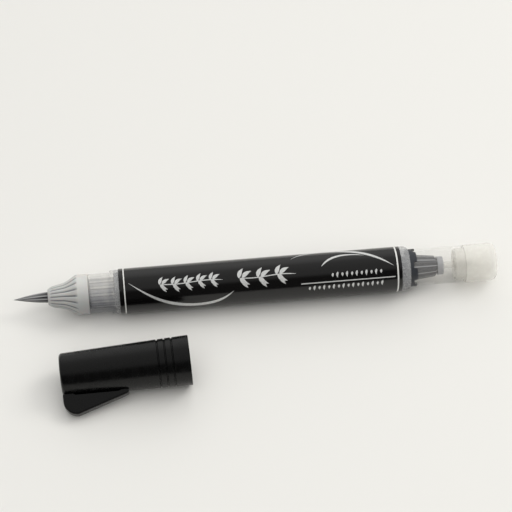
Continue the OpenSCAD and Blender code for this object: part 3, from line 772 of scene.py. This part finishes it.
def build_clip():
    """Clip lofted along the cap from rounded sections.

    The outer face rises round a quarter circle at the closed end, then falls in a straight line to the
    foot. The inner face is the cap's own cylinder, grown by a gap, so its height is the square root of
    the cylinder's radius squared less the distance across squared.
    """
    reach, half, length = 12.3, 2.0, 19.0
    round_r, edge = 4.0, 0.5
    foot_gap, pocket_gap, foot_h = 0.12, 0.5, 1.2
    low, root, pad = 0.05, 3.2, 2.6
    tip_z, tip_reach = length - 0.9, cap_radius(length) + foot_h
    z = np.concatenate([low + np.array([0, 0.06, 0.2]),
                        low + round_r * (1 - np.cos(np.linspace(0.32, 1.57, 14))),
                        np.linspace(low + round_r + 0.3, tip_z, 22),
                        tip_z + np.sin(np.linspace(0.2, 1.57, 8)) * (length - tip_z)])
    inset = np.interp(z, [low, low + 0.06, low + 0.2], [0.2, 0.07, 0])
    arc = reach - round_r + np.sqrt(np.clip(round_r**2 - np.clip(low + round_r - z, 0, None)**2, 0, None))
    fall = reach + (tip_reach - reach) * (z - low - round_r) / (tip_z - low - round_r)
    outer = np.where(z < low + round_r, arc, fall)
    past = np.clip((z - tip_z) / (length - tip_z), 0, 1)
    outer = outer - 0.5 * (1 - np.sqrt(1 - 0.98 * past**2)) - inset
    gap = inset + np.interp(z, [root, root + 0.4, length - pad, length - pad + 0.5],
                            [foot_gap, pocket_gap, pocket_gap, foot_gap])
    under = cap_radius(z) + gap
    width = half - inset - 0.12 * past
    thick = outer - under
    e = np.minimum(edge, 0.42 * thick)[:, None]
    o, w = outer[:, None], width[:, None]
    quarter = np.linspace(0, math.pi / 2, 6)[None, :]
    first = np.stack([o - e + e * np.sin(quarter), -(w - e) - e * np.cos(quarter)], -1)
    second = np.stack([o - e + e * np.cos(quarter), (w - e) + e * np.sin(quarter)], -1)
    across = (w - 0.05) * np.linspace(1, -1, 13)[None, :]
    inner = np.stack([np.sqrt(under[:, None]**2 - across**2), across], -1)
    ring = np.concatenate([first, second, inner], 1)
    points = np.concatenate([ring, np.repeat(z[:, None, None], ring.shape[1], 1)], -1)
    n, m = points.shape[:2]
    faces = tube_faces(n, m).tolist() + [list(range(m))[::-1], list(range((n - 1) * m, n * m))]
    piece("cap_clip_wedge", placed(points.reshape(-1, 3), CAP), faces, "clip", "cap_black", CAP_BLACK,
          ["cap_clip"])


build_nose()
build_collar()
build_barrel()
build_print()
build_tail()
build_brush()
build_cap()
build_clip()

# Inner parts that keep their own shape
FINISHES = {
    WHITE: ["brush_holder", "feed_tube", "valve_stem", "stem_collar", "rod_collar"],
    FELT: ["ink_sponge"],
    RUBBER: ["collar_o_ring", "valve_seat", "rod_seal"],
    GREY: ["feed_plug", "rear_plug"],
    SPRING: ["valve_spring", "return_spring"],
    BALL: ["mixing_ball"],
    MILKY: ["push_rod"],
}
for material, nodes in FINISHES.items():
    for node in nodes:
        mesh = frame["nodes"][node].data
        mesh.materials.clear()
        mesh.materials.append(material)


# ---------------------------------------------------------------- stage
def make_floor():
    """Pale matt table, wide enough to fill the view."""
    bpy.ops.mesh.primitive_plane_add(size=4)
    floor = bpy.context.object
    floor.name = "table"
    material, tree, shader = surface("table_paper", "#efeeeb", 0.55)
    floor.data.materials.append(material)


def area_light(name, direction, distance, size, power, colour):
    """Soft rectangular lamp in a direction from the middle of the scene, hidden from reflections."""
    light = bpy.data.lights.new(name, "AREA")
    light.shape = "RECTANGLE"
    light.size, light.size_y = size
    light.energy = power
    light.color = linear(colour)[:3]
    lamp = bpy.data.objects.new(name, light)
    lamp.location = Vector(direction).normalized() * distance
    lamp.rotation_euler = lamp.location.to_track_quat("Z", "Y").to_euler()
    lamp.visible_glossy = False
    bpy.context.scene.collection.objects.link(lamp)


def make_light():
    """Lamps for the matt surfaces, and a room whose gradient is what gloss reflects.

    The lamps are hidden from reflections. The room follows the dot product of a direction with an axis
    that points to the front, 37 degrees below the horizon: dim towards it, grey overhead, and brightest
    opposite to it.
    """
    area_light("key", (0.9, 0.3, 1.0), 1.1, (0.45, 0.45), 2.8, "#fffdf8")
    area_light("back", (0.15, 0.9, 1.0), 1.3, (1.4, 0.9), 2.4, "#fffefb")
    area_light("fill", (0.1, -0.45, 1.0), 1.5, (2.6, 1.8), 13, "#fffefb")
    world = bpy.data.worlds.new("room")
    bpy.context.scene.world = world
    world.use_nodes = True
    tree = world.node_tree
    lean = math.radians(37)
    where = add(tree, "ShaderNodeTexCoord").outputs["Generated"]
    dot = add(tree, "ShaderNodeVectorMath", {"operation": "DOT_PRODUCT"},
              {0: where, 1: (0, -math.cos(lean), -math.sin(lean))})
    place = add(tree, "ShaderNodeMapRange", {},
                {"Value": dot.outputs["Value"], "From Min": -1.0, "From Max": 0.5})
    room = [(0.0, 0.95), (0.067, 0.62), (0.3, 0.5), (0.587, 0.45), (0.747, 0.07)]
    colour = ramped(tree, place.outputs["Result"], [(at, (v, v, 0.985 * v, 1)) for at, v in room])
    tree.links.new(colour, tree.nodes["Background"].inputs["Color"])


def make_camera():
    """Camera 52 degrees up, with the pen's tail turned 5.8 degrees away."""
    elevation, azimuth = math.radians(52), math.radians(-5.83)
    distance, image_width, focal = 0.5592, 512, 1850
    target = Vector((0.00105, pen_y + 9.2 * MM, pen_z))
    back = Vector((math.sin(azimuth) * math.cos(elevation), -math.cos(azimuth) * math.cos(elevation),
                   math.sin(elevation)))
    data = bpy.data.cameras.new("camera")
    data.sensor_width = 36
    data.lens = focal / image_width * data.sensor_width
    camera = bpy.data.objects.new("camera", data)
    camera.location = target + back * distance
    camera.rotation_euler = back.to_track_quat("Z", "Y").to_euler()
    bpy.context.scene.collection.objects.link(camera)
    bpy.context.scene.camera = camera


make_floor()
make_light()
make_camera()
bpy.context.scene.view_settings.view_transform = "Standard"
